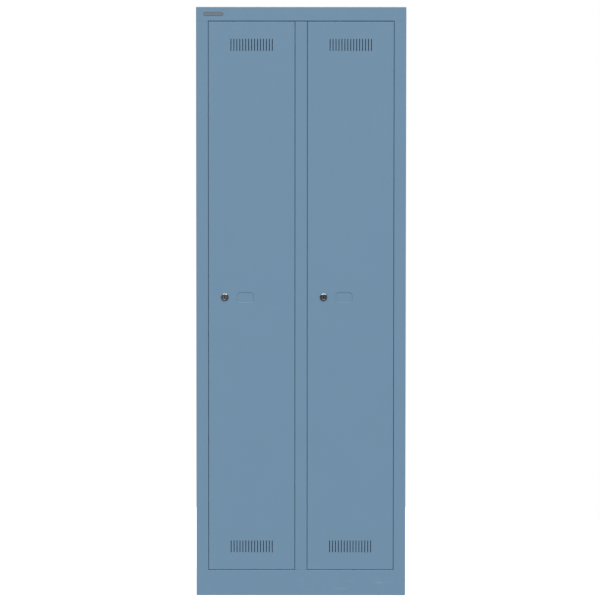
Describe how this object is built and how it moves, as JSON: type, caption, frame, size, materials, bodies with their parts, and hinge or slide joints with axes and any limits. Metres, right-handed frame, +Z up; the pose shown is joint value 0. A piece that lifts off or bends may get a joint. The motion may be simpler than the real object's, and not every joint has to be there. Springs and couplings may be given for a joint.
{
  "type": "school locker",
  "caption": "Tall steel school locker with side-by-side compartments, flat right-hinged doors, slotted vents, round cam locks and a plinth flush with the frame.",
  "frame": {"origin": "centre of the footprint at floor level", "axes": "+X to the right as seen from the front, +Y to the rear, +Z up; the doors face -Y"},
  "size_m": [0.63, 0.5032, 1.77],
  "materials": {
    "cabinet_paint": "satin powder coat, fine orange peel",
    "door_paint": "satin powder coat, fine orange peel",
    "lock_chrome": "bright chrome plate",
    "zinc_steel": "zinc-plated, passivated",
    "rail_chrome": "chrome-plated tube",
    "socket_plastic": "moulded, fine texture",
    "hook_plastic": "moulded, fine texture",
    "bush_nylon": "black nylon, moulded",
    "buffer_rubber": "soft matt",
    "foot_plastic": "moulded",
    "plug_plastic": "moulded",
    "plate_metal": "brushed, blank"
  },
  "bodies": {
    "carcass": {"left_upright": "cabinet_paint", "right_upright": "cabinet_paint", "left_stop_strip": "cabinet_paint", "right_stop_strip": "cabinet_paint", "top_rail": "cabinet_paint", "left_side_panel": "cabinet_paint", "right_side_panel": "cabinet_paint", "top_panel": "cabinet_paint", "base_panel": "cabinet_paint", "back_panel": "cabinet_paint", "centre_partition": "cabinet_paint", "centre_stile": "cabinet_paint", "left_hat_shelf": "cabinet_paint", "right_hat_shelf": "cabinet_paint", "left_coat_rail": "rail_chrome", "right_coat_rail": "rail_chrome", "rail_sockets": "socket_plastic", "rail_socket_rivets": "zinc_steel", "nameplate": "plate_metal", "foot_brackets": "zinc_steel", "floor_plugs": "plug_plastic", "left_hinge_pins": "zinc_steel", "right_hinge_pins": "zinc_steel", "left_door_buffers": "buffer_rubber", "right_door_buffers": "buffer_rubber"},
    "left_door": {"left_door_panel": "door_paint", "left_door_stiffener": "door_paint", "left_hinge_bushes": "bush_nylon", "left_lock_body": "lock_chrome", "left_lock_nut": "zinc_steel"},
    "left_lock": {"left_lock_plug": "lock_chrome", "left_lock_cam": "zinc_steel", "left_lock_washer": "zinc_steel", "left_cam_screw": "zinc_steel"},
    "left_outer_hook": {"left_outer_coat_hook": "hook_plastic"},
    "left_inner_hook": {"left_inner_coat_hook": "hook_plastic"},
    "right_door": {"right_door_panel": "door_paint", "right_door_stiffener": "door_paint", "right_hinge_bushes": "bush_nylon", "right_lock_body": "lock_chrome", "right_lock_nut": "zinc_steel"},
    "right_lock": {"right_lock_plug": "lock_chrome", "right_lock_cam": "zinc_steel", "right_lock_washer": "zinc_steel", "right_cam_screw": "zinc_steel"},
    "right_outer_hook": {"right_outer_coat_hook": "hook_plastic"},
    "right_inner_hook": {"right_inner_coat_hook": "hook_plastic"},
    "front_left_foot": {"front_left_foot_stud": "zinc_steel", "front_left_foot_pad": "foot_plastic"},
    "front_right_foot": {"front_right_foot_stud": "zinc_steel", "front_right_foot_pad": "foot_plastic"},
    "rear_left_foot": {"rear_left_foot_stud": "zinc_steel", "rear_left_foot_pad": "foot_plastic"},
    "rear_right_foot": {"rear_right_foot_stud": "zinc_steel", "rear_right_foot_pad": "foot_plastic"}
  },
  "joints": [
    {"name": "left_door_hinge", "type": "hinge", "parent": "carcass", "child": "left_door", "pos_m": [-0.031, -0.2442, 0.9], "axis": [0, 0, 1], "range_deg": [0, 110]},
    {"name": "left_lock_turn", "type": "hinge", "parent": "left_door", "child": "left_lock", "pos_m": [-0.2295, -0.24, 0.9], "axis": [0, 1, 0], "range_deg": [0, 90]},
    {"name": "left_outer_hook_slide", "type": "slide", "parent": "carcass", "child": "left_outer_hook", "axis": [1, 0, 0], "range_m": [-0.05, 0.05]},
    {"name": "left_inner_hook_slide", "type": "slide", "parent": "carcass", "child": "left_inner_hook", "axis": [1, 0, 0], "range_m": [-0.05, 0.05]},
    {"name": "right_door_hinge", "type": "hinge", "parent": "carcass", "child": "right_door", "pos_m": [0.266, -0.2442, 0.9], "axis": [0, 0, 1], "range_deg": [0, 110]},
    {"name": "right_lock_turn", "type": "hinge", "parent": "right_door", "child": "right_lock", "pos_m": [0.0675, -0.24, 0.9], "axis": [0, 1, 0], "range_deg": [0, 90]},
    {"name": "right_outer_hook_slide", "type": "slide", "parent": "carcass", "child": "right_outer_hook", "axis": [1, 0, 0], "range_m": [-0.05, 0.05]},
    {"name": "right_inner_hook_slide", "type": "slide", "parent": "carcass", "child": "right_inner_hook", "axis": [1, 0, 0], "range_m": [-0.05, 0.05]},
    {"name": "front_left_foot_adjust", "type": "slide", "parent": "carcass", "child": "front_left_foot", "axis": [0, 0, -1], "range_m": [0, 0.02]},
    {"name": "front_right_foot_adjust", "type": "slide", "parent": "carcass", "child": "front_right_foot", "axis": [0, 0, -1], "range_m": [0, 0.02]},
    {"name": "rear_left_foot_adjust", "type": "slide", "parent": "carcass", "child": "rear_left_foot", "axis": [0, 0, -1], "range_m": [0, 0.02]},
    {"name": "rear_right_foot_adjust", "type": "slide", "parent": "carcass", "child": "rear_right_foot", "axis": [0, 0, -1], "range_m": [0, 0.02]}
  ]
}
